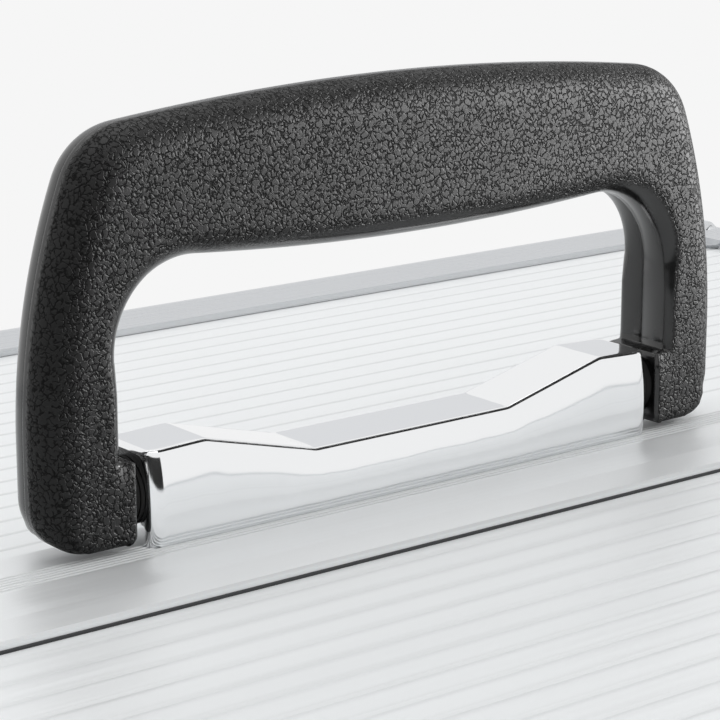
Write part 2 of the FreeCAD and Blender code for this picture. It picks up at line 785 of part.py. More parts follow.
# The lever is stored just released, so that the claw stands clear of the catch
turn = math.radians(release_angle)
released_claw_axis = lever_axis + vec(0, -claw_pivot_out * math.cos(turn) - claw_pivot_drop * math.sin(turn),
                                      claw_pivot_out * math.sin(turn) - claw_pivot_drop * math.cos(turn))
for name, sign in (("left", -1), ("right", 1)):
    lever = latch_lever()
    lever.rotate(lever_axis, X, -release_angle)
    claw = latch_claw()
    claw.translate(released_claw_axis - claw_axis)
    for part_name, shape in (("latch_lever_", lever), ("latch_claw_", claw)):
        shape.translate(X * (sign * latch_x))
        nodes[part_name + name] = shape
nodes["latch_bases"] = pair_at(latch_base(), latch_x)
nodes["latch_catches"] = pair_at(latch_catch(), latch_x)

# Lid lining board, open round the backing plate

lid_liner_top = deck_z - panel_thickness
lid_liner = block(-inner_x, inner_x, -inner_y, inner_y, lid_liner_top - liner_thickness, lid_liner_top)
open_x = backing_length / 2 + cut_margin
open_y = backing_width / 2 + cut_margin
opening = block(-open_x, open_x, backing_y - open_y, backing_y + open_y,
                lid_liner_top - 2 * liner_thickness, lid_liner_top + cut_margin)
nodes["lid_liner"] = lid_liner.cut(opening)

# The whole object is centred on its own box in Y

whole = FreeCAD.BoundBox()
for shape in nodes.values():
    whole.add(shape.BoundBox)
shift = Y * -whole.Center.y
print("case centre y", shift.y, "nodes", len(nodes))
print("box", whole.XLength, whole.YLength, whole.ZLength)
print("handle pivot", shift.y, pivot_z)
print("hinge axis", hinge_y + shift.y, hinge_z)
print("lever axis", lever_axis.y + shift.y, lever_axis.z)
print("claw axis", released_claw_axis.y + shift.y, released_claw_axis.z)
os.makedirs("parts", exist_ok=True)
for name, shape in nodes.items():
    shape.translate(shift)
    shape.exportStep("parts/" + name + ".step")
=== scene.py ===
import math

import bpy
import numpy as np
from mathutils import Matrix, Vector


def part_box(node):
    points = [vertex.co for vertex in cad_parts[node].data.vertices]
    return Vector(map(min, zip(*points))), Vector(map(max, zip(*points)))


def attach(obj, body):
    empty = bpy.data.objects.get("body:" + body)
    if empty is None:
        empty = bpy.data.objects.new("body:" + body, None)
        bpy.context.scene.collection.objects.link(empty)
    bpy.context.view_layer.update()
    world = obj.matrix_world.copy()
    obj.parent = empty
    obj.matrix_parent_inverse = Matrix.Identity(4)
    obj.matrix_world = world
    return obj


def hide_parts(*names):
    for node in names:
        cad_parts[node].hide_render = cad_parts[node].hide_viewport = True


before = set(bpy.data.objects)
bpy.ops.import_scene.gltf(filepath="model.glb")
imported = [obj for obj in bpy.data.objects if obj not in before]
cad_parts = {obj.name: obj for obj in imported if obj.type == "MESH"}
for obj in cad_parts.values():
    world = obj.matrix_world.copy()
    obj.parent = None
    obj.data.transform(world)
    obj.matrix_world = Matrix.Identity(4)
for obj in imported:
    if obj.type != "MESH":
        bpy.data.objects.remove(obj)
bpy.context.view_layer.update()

# Ribbed panels: thin aluminium sheet rolled with fine ribs and glued on light board.
# They slide into the edge extrusions. Anodising leaves them silvery, satin and slightly cool. Each
# groove between two ribs gets painted shade: a soft darker line in the colour.


def linear(code):
    """sRGB hex colour as linear RGBA: each channel goes through the inverse of the sRGB curve."""
    c = np.array([int(code[i:i + 2], 16) for i in (1, 3, 5)]) / 255
    c = np.where(c <= 0.04045, c / 12.92, ((c + 0.055) / 1.055) ** 2.4)
    return (*c.tolist(), 1.0)


def add(tree, kind, inputs=None, **settings):
    """Adds a node with its settings. An input that is a socket is linked, any other value is set."""
    made = tree.nodes.new(kind)
    for name, value in settings.items():
        setattr(made, name, value)
    for name, value in (inputs or {}).items():
        if isinstance(value, bpy.types.NodeSocket):
            tree.links.new(value, made.inputs[name])
        else:
            made.inputs[name].default_value = value
    return made


def new_material(name):
    """A material with an empty node tree, and that tree."""
    material = bpy.data.materials.new(name)
    material.use_nodes = True
    material.node_tree.nodes.clear()
    return material, material.node_tree


def dress(material, *names):
    """Gives the CAD nodes of these names the material."""
    for name in names:
        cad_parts[name].material_slots[0].material = material


def box_mm(name):
    """Lowest and highest corner of a CAD node, in millimetres."""
    return [1000 * np.array(corner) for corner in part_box(name)]


def drawn_metal(name, colour, roughness, along, line_mm, depth_mm, bare=1.0):
    """Metal with fine drawn lines: noise squeezed across the drawing direction, as relief and as gloss.
    An anodised skin scatters part of the light, so only the bare share of the surface mirrors."""
    material, tree = new_material(name)
    length_to_width = 150
    scale = [1000 / line_mm] * 3
    scale[along] /= length_to_width
    place = add(tree, "ShaderNodeTexCoord").outputs["Object"]
    place = add(tree, "ShaderNodeMapping", {"Vector": place, "Scale": scale}).outputs["Vector"]
    lines = add(tree, "ShaderNodeTexNoise", {"Vector": place, "Scale": 1.0, "Detail": 3.0})
    gloss = add(tree, "ShaderNodeMapRange", {"Value": lines.outputs["Fac"],
                                             "From Min": 0.3, "From Max": 0.7,
                                             "To Min": roughness * 0.85, "To Max": roughness * 1.15})
    relief = add(tree, "ShaderNodeBump", {"Height": lines.outputs["Fac"], "Strength": 0.35,
                                          "Distance": depth_mm / 1000})
    metal = add(tree, "ShaderNodeBsdfPrincipled", {"Base Color": linear(colour), "Metallic": bare,
                                                   "Roughness": gloss.outputs["Result"],
                                                   "Normal": relief.outputs["Normal"]})
    add(tree, "ShaderNodeOutputMaterial", {"Surface": metal.outputs["BSDF"]})
    return material


def ribbed_metal(name, colour, groove_shade_colour, along, across, first_mm, pitch_mm, line_mm):
    """Drawn metal with painted shade in its grooves: a soft dark line whose tone follows the distance to the
    next groove.
    """
    material = drawn_metal(name, colour, 0.5, along, line_mm=0.5, depth_mm=0.02, bare=0.4)
    tree = material.node_tree
    place = add(tree, "ShaderNodeTexCoord").outputs["Object"]
    parts = add(tree, "ShaderNodeSeparateXYZ", {"Vector": place})
    from_first = add(tree, "ShaderNodeMath", {0: parts.outputs["XYZ"[across]], 1: first_mm / 1000},
                     operation="SUBTRACT")
    to_groove = add(tree, "ShaderNodeMath", {0: from_first.outputs["Value"], 1: pitch_mm / 2000},
                    operation="PINGPONG")
    tone = add(tree, "ShaderNodeMapRange", {"Value": to_groove.outputs["Value"],
                                            "From Max": line_mm / 1000}, interpolation_type="SMOOTHSTEP")
    shade = add(tree, "ShaderNodeMix", {0: tone.outputs["Result"],
                                        6: linear(groove_shade_colour), 7: linear(colour)}, data_type="RGBA")
    metal = next(n for n in tree.nodes if n.type == "BSDF_PRINCIPLED")
    tree.links.new(shade.outputs[2], metal.inputs["Base Color"])
    return material


panel_colour = "#eef0f1"
rib_pitch = 6.0
# Groove colours are painted shade, darker than the sheet; on the front deck the line is broad and faint.
for name, nodes, along, across, groove_shade_colour, line_mm in (
        ("front_deck", ["front_deck_panel"], 0, 1, "#e4e6e7", 1.9),
        ("rear_deck", ["rear_deck_panel"], 0, 1, "#dadcdd", 0.8),
        ("body_long", ["body_front_panel", "body_rear_panel"], 0, 2, "#dadcdd", 0.8),
        ("body_short", ["body_left_panel", "body_right_panel"], 1, 2, "#dadcdd", 0.8),
        ("lid_long", ["lid_front_panel", "lid_rear_panel"], 0, 2, "#dadcdd", 0.8),
        ("lid_short", ["lid_left_panel", "lid_right_panel"], 1, 2, "#dadcdd", 0.8)):
    low, high = box_mm(nodes[0])
    first = (low[across] + high[across]) / 2
    grooves = int((high[across] - low[across] - rib_pitch / 2) // rib_pitch)
    first += 0.0 if grooves % 2 else rib_pitch / 2
    dress(ribbed_metal("anodised_ribbed_sheet_" + name, panel_colour, groove_shade_colour, along, across, first,
                       rib_pitch, line_mm), *nodes)

# Base board: black moulded sheet that closes the underside, held in the bottom extrusions.
# Its fine texture hides scuffs and leaves it dull.


def textured_plastic(name, colour, roughness, grain_mm, depth_mm):
    """Moulded plastic: fine even noise as relief."""
    material, tree = new_material(name)
    place = add(tree, "ShaderNodeTexCoord").outputs["Object"]
    grain = add(tree, "ShaderNodeTexNoise", {"Vector": place, "Scale": 1000 / grain_mm, "Detail": 2.0})
    relief = add(tree, "ShaderNodeBump", {"Height": grain.outputs["Fac"], "Strength": 0.6,
                                          "Distance": depth_mm / 1000})
    body = add(tree, "ShaderNodeBsdfPrincipled", {"Base Color": linear(colour), "Roughness": roughness,
                                                  "Normal": relief.outputs["Normal"]})
    add(tree, "ShaderNodeOutputMaterial", {"Surface": body.outputs["BSDF"]})
    return material


dress(textured_plastic("moulded_polypropylene_board", "#26272a", 0.6, grain_mm=0.8, depth_mm=0.08),
      "bottom_panel")

# Edge extrusions, corner posts, rims and spine rail: pressed aluminium profile, brushed along its length
# and clear anodised. The brushing stretches reflections across the profile. The rail is paler and more matt.

edge_colour = "#d6d8da"
edge_x, edge_y, edge_z = [drawn_metal("brushed_anodised_profile_" + axis, edge_colour, 0.3, along,
                                      line_mm=0.35, depth_mm=0.015) for along, axis in enumerate("xyz")]
dress(edge_x, "bottom_edge_front", "bottom_edge_rear", "lid_edge_front", "lid_edge_rear",
      "body_rim", "lid_rim")
dress(edge_y, "bottom_edge_left", "bottom_edge_right", "lid_edge_left", "lid_edge_right")
dress(edge_z, "body_corner_posts", "lid_corner_posts")
dress(drawn_metal("brushed_anodised_rail", "#eef0f1", 0.42, 0, line_mm=0.35, depth_mm=0.015, bare=0.45),
      "spine_rail")

# Corner guards: pressed steel sheet, satin nickel plated, held by a domed rivet in each side petal.
# The pressing leaves a faint orange peel that wavers the reflections.


def plated_metal(name, colour, roughness, peel_mm, depth_mm):
    """Plated metal: broad soft noise as the faint unevenness that plating keeps."""
    material, tree = new_material(name)
    place = add(tree, "ShaderNodeTexCoord").outputs["Object"]
    peel = add(tree, "ShaderNodeTexNoise", {"Vector": place, "Scale": 1000 / peel_mm, "Detail": 1.0})
    relief = add(tree, "ShaderNodeBump", {"Height": peel.outputs["Fac"], "Strength": 0.3,
                                          "Distance": depth_mm / 1000})
    metal = add(tree, "ShaderNodeBsdfPrincipled", {"Base Color": linear(colour), "Metallic": 1.0,
                                                   "Roughness": roughness,
                                                   "Normal": relief.outputs["Normal"]})
    add(tree, "ShaderNodeOutputMaterial", {"Surface": metal.outputs["BSDF"]})
    return material


def grid_faces(rows, columns):
    """Quads of a grid whose columns close into a ring: each joins its next column and its next row."""
    i = np.arange(rows - 1)[:, None] * columns
    j = np.arange(columns)[None, :]
    k = (j + 1) % columns
    return np.stack([i + j, i + k, i + k + columns, i + j + columns], axis=-1).reshape(-1, 4)


def mesh_piece(name, points, faces, material, body, slot):
    """One mesh piece at the origin, riding on a CAD body. Quads are smooth,
    end caps flat. The slot argument is not used."""
    mesh = bpy.data.meshes.new(name)
    mesh.from_pydata(points.reshape(-1, 3).tolist(), [], faces)
    mesh.polygons.foreach_set("use_smooth", np.array([len(face) == 4 for face in faces]))
    mesh.materials.append(material)
    piece = bpy.data.objects.new(name, mesh)
    bpy.context.scene.collection.objects.link(piece)
    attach(piece, body)
    return piece


def turned_heads(name, profile_mm, places_mm, outward, material, body, slot):
    """Heads turned from one profile: each radius and height of the profile is carried round the axis."""
    radius, height = np.array(profile_mm).T
    steps = 24
    angle = np.linspace(0, 2 * np.pi, steps, endpoint=False)
    axis = np.array(outward, dtype=float)
    first = np.cross(axis, [0, 0, 1] if abs(axis[2]) < 0.5 else [1, 0, 0])
    second = np.cross(axis, first)
    round_axis = np.cos(angle)[:, None] * first + np.sin(angle)[:, None] * second
    head = radius[:, None, None] * round_axis + height[:, None, None] * axis
    points = (np.array(places_mm)[:, None, None, :] + head) / 1000
    rings = len(radius)
    side = grid_faces(rings, steps)
    caps = [np.arange(steps)[::-1], np.arange(steps) + (rings - 1) * steps]
    faces = []
    for number in range(len(places_mm)):
        start = number * rings * steps
        faces += (side + start).tolist() + [(cap + start).tolist() for cap in caps]
    return mesh_piece(name, points, faces, material, body, slot)


nickel = plated_metal("satin_nickel_pressing", "#d6d8da", 0.42, peel_mm=9.0, depth_mm=0.02)
dress(nickel, "body_guards", "lid_guards")

centre_y = (box_mm("front_deck_panel")[0][1] + box_mm("rear_deck_panel")[1][1]) / 2
guard_low, guard_high = box_mm("lid_guards")
body_guard_low = box_mm("body_guards")[0][2]
rivet_profile = [(2.6, 0.0), (2.6, 0.15), (2.3, 0.55), (1.6, 0.85), (0.6, 1.0)]
rivet_inset = 13.0
rivet_x = guard_high[0] - rivet_inset
rivet_y = (guard_high[1] - guard_low[1]) / 2 - rivet_inset
for body, z in (("lid", guard_high[2] - rivet_inset), ("case_body", body_guard_low + rivet_inset)):
    for side, outward, face in (("front", (0, -1, 0), guard_low[1]), ("rear", (0, 1, 0), guard_high[1])):
        places = [(sign * rivet_x, face, z) for sign in (-1, 1)]
        turned_heads(body + "_guard_rivets_" + side, rivet_profile, places, outward, nickel, body,
                     "corner_guard")
    for side, sign in (("left", -1), ("right", 1)):
        places = [(sign * guard_high[0], centre_y + turn * rivet_y, z) for turn in (-1, 1)]
        turned_heads(body + "_guard_rivets_" + side, rivet_profile, places, (sign, 0, 0), nickel, body,
                     "corner_guard")

# Corner connectors: round-nosed aluminium bars inside the ends of the edge extrusions, under the guards.
# They close the slit that each guard's slanting end leaves over the rounded edge.

edge_round = 7.0
connector_radius = edge_round - 0.1
connector_reach = 26.0
nose = np.linspace(0, np.pi / 2, 7)[1:-1]
connector_profile = [(connector_radius, 0.0), (connector_radius, connector_reach)]
connector_profile += [(connector_radius * math.cos(t), connector_reach + connector_radius * math.sin(t))
                      for t in nose]
edge_front = box_mm("lid_edge_front")[0][1]
edge_rear = box_mm("lid_edge_rear")[1][1]
axis_x = box_mm("lid_edge_right")[1][0] - edge_round
axis_y = (edge_rear - edge_front) / 2 - edge_round
middle_y = (edge_rear + edge_front) / 2
for body, z in (("lid", box_mm("lid_edge_front")[1][2] - edge_round),
                ("case_body", box_mm("bottom_edge_front")[0][2] + edge_round)):
    for side, sign in (("low", -1), ("high", 1)):
        root_x = sign * (axis_x - connector_reach)
        places = [(root_x, middle_y + turn * axis_y, z) for turn in (-1, 1)]
        turned_heads(body + "_connectors_x_" + side, connector_profile, places, (sign, 0, 0), edge_x, body,
                     "edge_extrusion")
        root_y = middle_y + sign * (axis_y - connector_reach)
        places = [(turn * axis_x, root_y, z) for turn in (-1, 1)]
        turned_heads(body + "_connectors_y_" + side, connector_profile, places, (0, sign, 0), edge_y, body,
                     "edge_extrusion")

# Feet: moulded rubber pads near the corners of the underside, dull and almost black.
# A pan-head screw of zinc plated steel, sunk in each pad's bore, goes into the bottom extrusions.

rubber = textured_plastic("moulded_black_rubber", "#1c1c1d", 0.75, grain_mm=0.5, depth_mm=0.05)
dress(rubber, "feet")
zinc = plated_metal("zinc_plated_steel", "#bfc1c2", 0.3, peel_mm=5.0, depth_mm=0.02)
foot_low, foot_high = box_mm("feet")
foot_radius = 12.0
foot_bore_depth = 3.0
foot_screw_profile = [(3.2, 0.0), (3.2, 0.9), (2.6, 1.5), (1.0, 1.8)]
foot_places = [(x, y, foot_low[2] + foot_bore_depth)
               for x in (foot_low[0] + foot_radius, foot_high[0] - foot_radius)
               for y in (foot_low[1] + foot_radius, foot_high[1] - foot_radius)]
turned_heads("foot_screws", foot_screw_profile, foot_places, (0, 0, -1), zinc, "case_body", "pin_steel")

# Lining boards and dividers: short-napped black velour on thin board, glued in.
# The nap scatters light at grazing angles and dulls the rest.


def velour(name, colour, light_colour, nap_mm, depth_mm):
    """Napped cloth: fine noise as relief and a broad one, 40 times as wide, as tone, with sheen."""
    material, tree = new_material(name)
    place = add(tree, "ShaderNodeTexCoord").outputs["Object"]
    nap = add(tree, "ShaderNodeTexNoise", {"Vector": place, "Scale": 1000 / nap_mm, "Detail": 2.0})
    cloud = add(tree, "ShaderNodeTexNoise", {"Vector": place, "Scale": 1000 / (40 * nap_mm), "Detail": 3.0})
    tone = add(tree, "ShaderNodeMix", {0: cloud.outputs["Fac"], 6: linear(colour), 7: linear(light_colour)},
               data_type="RGBA")
    relief = add(tree, "ShaderNodeBump", {"Height": nap.outputs["Fac"], "Strength": 0.8,
                                          "Distance": depth_mm / 1000})
    cloth = add(tree, "ShaderNodeBsdfPrincipled", {"Base Color": tone.outputs[2], "Roughness": 0.95,
                                                   "Sheen Weight": 0.4, "Sheen Roughness": 0.5,
                                                   "Normal": relief.outputs["Normal"]})
    add(tree, "ShaderNodeOutputMaterial", {"Surface": cloth.outputs["BSDF"]})
    return material


dress(velour("black_velour", "#1d1e21", "#34353a", nap_mm=0.6, depth_mm=0.2), "bottom_liner",
      "body_wall_liners", "lid_liner", "long_divider", "cross_divider_left", "cross_divider_right")

# Hinges: zinc plated steel leaves riveted to both rims at the back, with a steel pin through the knuckles.
# The plating is a half-bright grey, and the pins keep fine lines along their length.

dress(zinc, "hinge_body_leaves", "hinge_lid_leaves")
turned_steel = drawn_metal("turned_steel_pin", "#c6c7c8", 0.25, 0, line_mm=0.3, depth_mm=0.01)
dress(turned_steel, "hinge_pins", "pivot_pins")
hinge_rivet_profile = [(2.4, 0.0), (2.3, 0.3), (1.6, 0.55), (0.5, 0.65)]
leaf_thickness = 1.5
leaf_margin = 4.0
leaf_half = 30.0
leaf_rivet_gap = 22.0
for node, body in (("hinge_body_leaves", "case_body"), ("hinge_lid_leaves", "lid")):
    low, high = box_mm(node)
    z = (low[2] + leaf_margin) if body == "case_body" else (high[2] - leaf_margin)
    places = [(sign * (high[0] - leaf_half) + step * leaf_rivet_gap, low[1] + leaf_thickness, z)
              for sign in (-1, 1) for step in (-1, 0, 1)]
    turned_heads(node + "_rivets", hinge_rivet_profile, places, (0, 1, 0), zinc, body, "hinge_steel")

# Draw latches: nickel plated steel pressings, riveted to the body and to the lid.
# The lever draws its claw down over the ledge of the catch. Bright plating mirrors the surroundings.

bright_nickel = plated_metal("bright_nickel_plate", "#d8d9da", 0.14, peel_mm=7.0, depth_mm=0.02)
dress(bright_nickel, "latch_bases", "latch_catches", "latch_lever_left", "latch_lever_right",
      "latch_claw_left", "latch_claw_right")
catch_low, catch_high = box_mm("latch_catches")
catch_half_width = 11.0
latch_x = catch_high[0] - catch_half_width
plate_thickness = 1.2
plate_face = catch_high[1] - plate_thickness
base_rivet_z = box_mm("latch_bases")[0][2] + 4.0
catch_rivet_z = catch_low[2] + 4.5
latch_rivet_profile = [(1.9, 0.0), (1.8, 0.35), (1.2, 0.6), (0.4, 0.7)]
for name, body, beside, z in (("latch_base_rivets", "case_body", 8.0, base_rivet_z),
                              ("latch_catch_rivets", "lid", 7.0, catch_rivet_z)):
    places = [(sign * latch_x + turn * beside, plate_face, z) for sign in (-1, 1) for turn in (-1, 1)]
    turned_heads(name, latch_rivet_profile, places, (0, -1, 0), bright_nickel, body, "latch_plate")

# Backing plate and screws of the handle base: a zinc plated steel strip on the lid's lining, and two
# pan-head screws that go up through it into the base.

dress(zinc, "backing_plate")
plate_low, plate_high = box_mm("backing_plate")
plate_y = (plate_low[1] + plate_high[1]) / 2
base_screw_x = 30.0
base_screw_profile = [(4.5, 0.0), (4.5, 1.2), (3.6, 1.9), (1.2, 2.2)]
turned_heads("handle_base_screws", base_screw_profile,
             [(sign * base_screw_x, plate_y, plate_low[2]) for sign in (-1, 1)],
             (0, 0, -1), zinc, "lid", "pin_steel")

# Gap shade strip: a thin, dull, dark strip along the front lip of the spine rail, where it lies on the
# front panel. It is painted shade, a dark piece put where the step under the lip is in shade, and shows as a
# fine dark line.

rail_low, rail_high = box_mm("spine_rail")
gap_strip_profile = np.array([(-0.3, 0.0), (0.05, 0.0), (0.05, 0.45), (-0.15, 0.45)])
gap_strip_profile += (rail_low[1], box_mm("front_deck_panel")[1][2])
gap_strip_x = np.repeat([[rail_low[0]], [rail_high[0]]], len(gap_strip_profile), axis=1)
gap_strip_points = np.stack([gap_strip_x, *np.broadcast_to(gap_strip_profile.T[:, None], (2, *gap_strip_x.shape))], axis=-1)
gap_strip_faces = grid_faces(2, 4).tolist() + [[3, 2, 1, 0], [4, 5, 6, 7]]
gap_shade_paint = textured_plastic("dark_gap_shade_strip", "#3a3b3d", 0.7, grain_mm=0.5, depth_mm=0.02)
mesh_piece("rail_lip_gap_shade", gap_strip_points / 1000, gap_strip_faces, gap_shade_paint, "lid", "edge_extrusion")

# Handle base: zinc die casting, polished and chromed, waisted between its two ends.
# Its sides bulge, so it shows the rail and the white studio as long smears, and the small edge radius
# picks up the dark handle as a thin line.

chrome = plated_metal("polished_chrome_casting", "#f6f7f8", 0.08, peel_mm=10.0, depth_mm=0.6)
bar_low, bar_high = box_mm("handle_base")
handle_y = (bar_low[1] + bar_high[1]) / 2
deck_z = bar_low[2]
bar_half_length = bar_high[0]
bar_seat = rail_high[2] - deck_z
bar_rear_seat = rail_high[1] - handle_y + 0.1
bar_round = 2.4
bar_edge = 0.8
bar_half = 6.4
bar_lean = 0.7
bar_swell = 0.95
waist_end = 19.4
shoulder = 39.5
waist_height = 9.6
shoulder_height = 14.7
end_height = 14.3
fold_blend = 0.45


def bar_height(x):
    """Height over the deck: straight lines between ends, shoulders and waist, with a short blend at each
    fold, which is a mean over nearby places."""
    stations = [0.0, waist_end, shoulder, bar_half_length]
    heights = np.array([waist_height, waist_height, shoulder_height, end_height]) + bar_seat
    blend = np.linspace(-fold_blend, fold_blend, 7)[:, None]
    return np.interp(np.abs(x[None, :] + blend), stations, heights).mean(axis=0)


def chrome_bar():
    """Closed section carried along X. A side is a parabola over its height, the top edge an arc that starts
    at the side's slope, and towards the ends the plan narrows on a quarter circle."""
    inner = bar_half_length - bar_round
    end = inner + bar_round * np.sin(np.linspace(0, np.pi / 2, 15))
    x = np.concatenate([-end[::-1], np.linspace(-inner, inner, 181)[1:-1], end])
    past = np.clip((np.abs(x) - inner) / bar_round, 0, 1)
    width = (1 - (bar_round / (bar_half + bar_swell)) * (1 - np.sqrt(1 - past ** 2)))[:, None]
    near_end = np.clip((np.abs(x) - bar_half_length + bar_edge) / bar_edge, 0, 1)
    height = (bar_height(x) - bar_edge * (1 - np.sqrt(1 - near_end ** 2)))[:, None]
    slope = np.arctan2(bar_lean + 4 * bar_swell, height)
    top_of_side = height - bar_edge * (1 - np.sin(slope))

    def side(low):
        """Half width and height of a side: it leans in evenly and swells as a parabola."""
        z = low + (top_of_side - low) * np.linspace(0, 1, 28)[None, :]
        t = z / height
        return bar_half - bar_lean * t + 4 * bar_swell * t * (1 - t), z

    def edge(y, z):
        """Arc from the top of a side, at the side's slope, to the level top."""
        lift = slope + (np.pi / 2 - slope) * np.linspace(0, 1, 9)[None, 1:]
        centre_y = y[:, -1:] - bar_edge * np.cos(slope)
        centre_z = z[:, -1:] - bar_edge * np.sin(slope)
        return centre_y + bar_edge * np.cos(lift), centre_z + bar_edge * np.sin(lift)

    front_y, front_z = side(bar_seat)
    rear_y, rear_z = side(0.0)
    front_edge_y, front_edge_z = edge(front_y, front_z)
    rear_edge_y, rear_edge_z = edge(rear_y, rear_z)
    share = np.linspace(0, 1, 12)[None, 1:-1]
    top_y = -front_edge_y[:, -1:] + share * (rear_edge_y[:, -1:] + front_edge_y[:, -1:])
    top_z = np.broadcast_to(height, top_y.shape)
    step_y = np.full((len(x), 2), bar_rear_seat)
    step_z = np.broadcast_to([[0.0, bar_seat]], (len(x), 2))
    y = np.concatenate([-front_y, -front_edge_y, top_y, rear_edge_y[:, ::-1], rear_y[:, ::-1]], axis=1)
    y = np.concatenate([y * width, step_y], axis=1)
    z = np.concatenate([front_z, front_edge_z, top_z, rear_edge_z[:, ::-1], rear_z[:, ::-1], step_z], axis=1)
    points = np.stack([np.broadcast_to(x[:, None], y.shape), y + handle_y, z + deck_z], axis=-1) / 1000
    rows, columns = y.shape
    faces = [quad[::-1] for quad in grid_faces(rows, columns).tolist()]
    faces += [list(range(columns)), list(range((rows - 1) * columns, rows * columns))[::-1]]
    return points, faces


bar = mesh_piece("chrome_handle_base", *chrome_bar(), chrome, "lid", "chrome")
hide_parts("handle_base")

# Handle: two black shells moulded in filled nylon with a pebbled leather grain, closed round the pins.
# The grain covers the broad faces and runs out on the rounded inner side, which is smooth for the hand.
# Black acetal washers, dull and waxy, keep its feet off the base. Washers and pivot bosses share this
# near-black,
# dull finish, darker than the shells: in part their own black, in part painted shade for the gap between
# foot and base.


def grained_plastic(name, colour, pebble_mm, depth_mm, middle):
    """Leather grain: cells shifted by noise are pebbles, their borders creases, and a second noise fills
    some creases so that pebbles join. Masks leave the band at the seam and the side that faces the arch's
    middle smooth and glossier. Creases get painted shade: their specular level is lowered, so they reflect
    less than pebbles."""
    material, tree = new_material(name)
    coordinates = add(tree, "ShaderNodeTexCoord")
    place = coordinates.outputs["Object"]
    drift = add(tree, "ShaderNodeTexNoise", {"Vector": place, "Scale": 1000 / pebble_mm, "Detail": 1.0})
    drift = add(tree, "ShaderNodeVectorMath", {0: drift.outputs["Color"], 1: (0.5, 0.5, 0.5)},
                operation="SUBTRACT")
    drift = add(tree, "ShaderNodeVectorMath", {0: drift.outputs["Vector"], "Scale": 1.2 * pebble_mm / 1000},
                operation="SCALE")
    moved = add(tree, "ShaderNodeVectorMath", {0: place, 1: drift.outputs["Vector"]}, operation="ADD")
    border = add(tree, "ShaderNodeTexVoronoi", {"Vector": moved.outputs["Vector"],
                                                "Scale": 1000 / pebble_mm}, feature="DISTANCE_TO_EDGE")
    fill = add(tree, "ShaderNodeTexNoise", {"Vector": place, "Scale": 1500 / pebble_mm, "Detail": 0.0})
    fill = add(tree, "ShaderNodeMapRange", {"Value": fill.outputs["Fac"], "From Min": 0.56,
                                            "From Max": 0.68, "To Max": 0.13})
    filled = add(tree, "ShaderNodeMath", {0: border.outputs["Distance"], 1: fill.outputs["Result"]},
                 operation="ADD")
    height = add(tree, "ShaderNodeMapRange", {"Value": filled.outputs["Value"], "From Max": 0.21},
                 interpolation_type="SMOOTHSTEP").outputs["Result"]

    band_y, band_half, band_faded = middle[1] + 0.0026, 0.0034, 0.0044
    parts = add(tree, "ShaderNodeSeparateXYZ", {"Vector": place})
    from_band = add(tree, "ShaderNodeMath", {0: parts.outputs["Y"], 1: band_y}, operation="SUBTRACT")
    from_band = add(tree, "ShaderNodeMath", {0: from_band.outputs["Value"]}, operation="ABSOLUTE")
    beside = add(tree, "ShaderNodeMapRange", {"Value": from_band.outputs["Value"], "From Min": band_half,
                                              "From Max": band_faded}, interpolation_type="SMOOTHSTEP")
    away = add(tree, "ShaderNodeVectorMath", {0: place, 1: middle}, operation="SUBTRACT")
    flat = add(tree, "ShaderNodeVectorMath", {0: away.outputs["Vector"], 1: (1, 0, 1)},
               operation="MULTIPLY")
    out = add(tree, "ShaderNodeVectorMath", {0: flat.outputs["Vector"]}, operation="NORMALIZE")
    facing = add(tree, "ShaderNodeVectorMath", {0: out.outputs["Vector"], 1: coordinates.outputs["Normal"]},
                 operation="DOT_PRODUCT")
    inner = add(tree, "ShaderNodeMapRange", {"Value": facing.outputs["Value"], "From Min": -0.5,
                                             "From Max": -0.2}, interpolation_type="SMOOTHSTEP")
    mask = add(tree, "ShaderNodeMath", {0: inner.outputs["Result"], 1: beside.outputs["Result"]},
               operation="MULTIPLY").outputs["Value"]

    masked = add(tree, "ShaderNodeMath", {0: height, 1: mask}, operation="MULTIPLY")
    relief = add(tree, "ShaderNodeBump", {"Height": masked.outputs["Value"], "Strength": 1.0,
                                          "Distance": depth_mm / 1000})
    # Painted shade in the creases: their specular level drops by up to 0.26.
    crease = add(tree, "ShaderNodeMath", {0: 1.0, 1: height}, operation="SUBTRACT")
    crease = add(tree, "ShaderNodeMath", {0: crease.outputs["Value"], 1: mask}, operation="MULTIPLY")
    plain = add(tree, "ShaderNodeMapRange", {"Value": mask, "To Min": 0.7, "To Max": 0.34})
    gloss = add(tree, "ShaderNodeMath", {0: crease.outputs["Value"], 1: -0.26, 2: plain.outputs["Result"]},
                operation="MULTIPLY_ADD")
    dull = add(tree, "ShaderNodeMapRange", {"Value": mask, "To Min": 0.2, "To Max": 0.46})
    body = add(tree, "ShaderNodeBsdfPrincipled", {"Base Color": linear(colour),
                                                  "Roughness": dull.outputs["Result"],
                                                  "Specular IOR Level": gloss.outputs["Value"],
                                                  "Normal": relief.outputs["Normal"]})
    add(tree, "ShaderNodeOutputMaterial", {"Surface": body.outputs["BSDF"]})
    return material


def arc(centre, radius, start, end, count):
    """Points on a circle between two angles."""
    angle = np.linspace(start, end, count)
    return np.array(centre) + radius * np.stack([np.cos(angle), np.sin(angle)], axis=-1)


def spread(points, count):
    """Points spaced evenly along a polyline."""
    run = np.concatenate([[0.0], np.cumsum(np.linalg.norm(np.diff(points, axis=0), axis=1))])
    even = np.linspace(0, run[-1], count)
    return np.stack([np.interp(even, run, points[:, k]) for k in (0, 1)], axis=-1)


def direction(start, end):
    """Angle of the line from one point to another."""
    return math.atan2(end[1] - start[1], end[0] - start[0])


